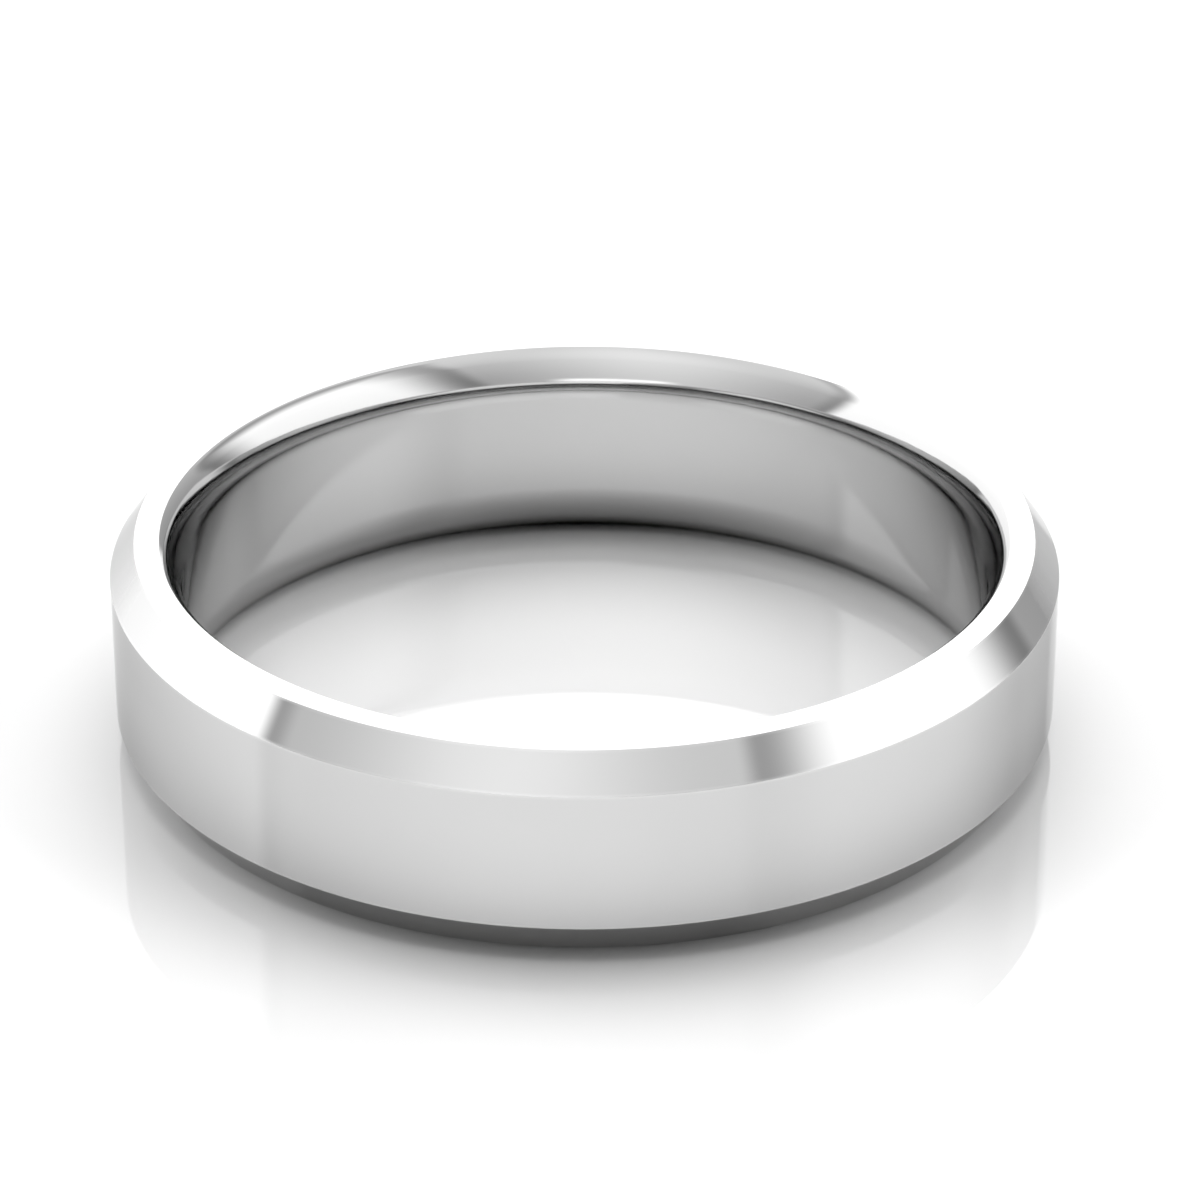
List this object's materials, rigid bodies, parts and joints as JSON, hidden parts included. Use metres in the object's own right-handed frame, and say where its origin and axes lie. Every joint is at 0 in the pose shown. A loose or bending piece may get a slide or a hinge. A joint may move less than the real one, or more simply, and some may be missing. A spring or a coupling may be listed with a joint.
{
  "type": "wedding band",
  "caption": "Plain comfort-fit finger ring in polished white metal, with a flat outer wall, a crisp bevel round each outer edge, narrow flat rims and a domed inside.",
  "frame": {"origin": "centre of the lower rim's plane, where the band rests when it lies flat", "axes": "+Z along the ring's axis, up through the finger hole; the band is a body of revolution, so X and Y are any two directions across it"},
  "size_m": [0.0222, 0.0222, 0.005],
  "materials": {
    "white_metal": "mirror-polished white gold, rhodium plated, with crisp bevel edges"
  },
  "bodies": {
    "root": {"band": "white_metal"}
  },
  "joints": []
}
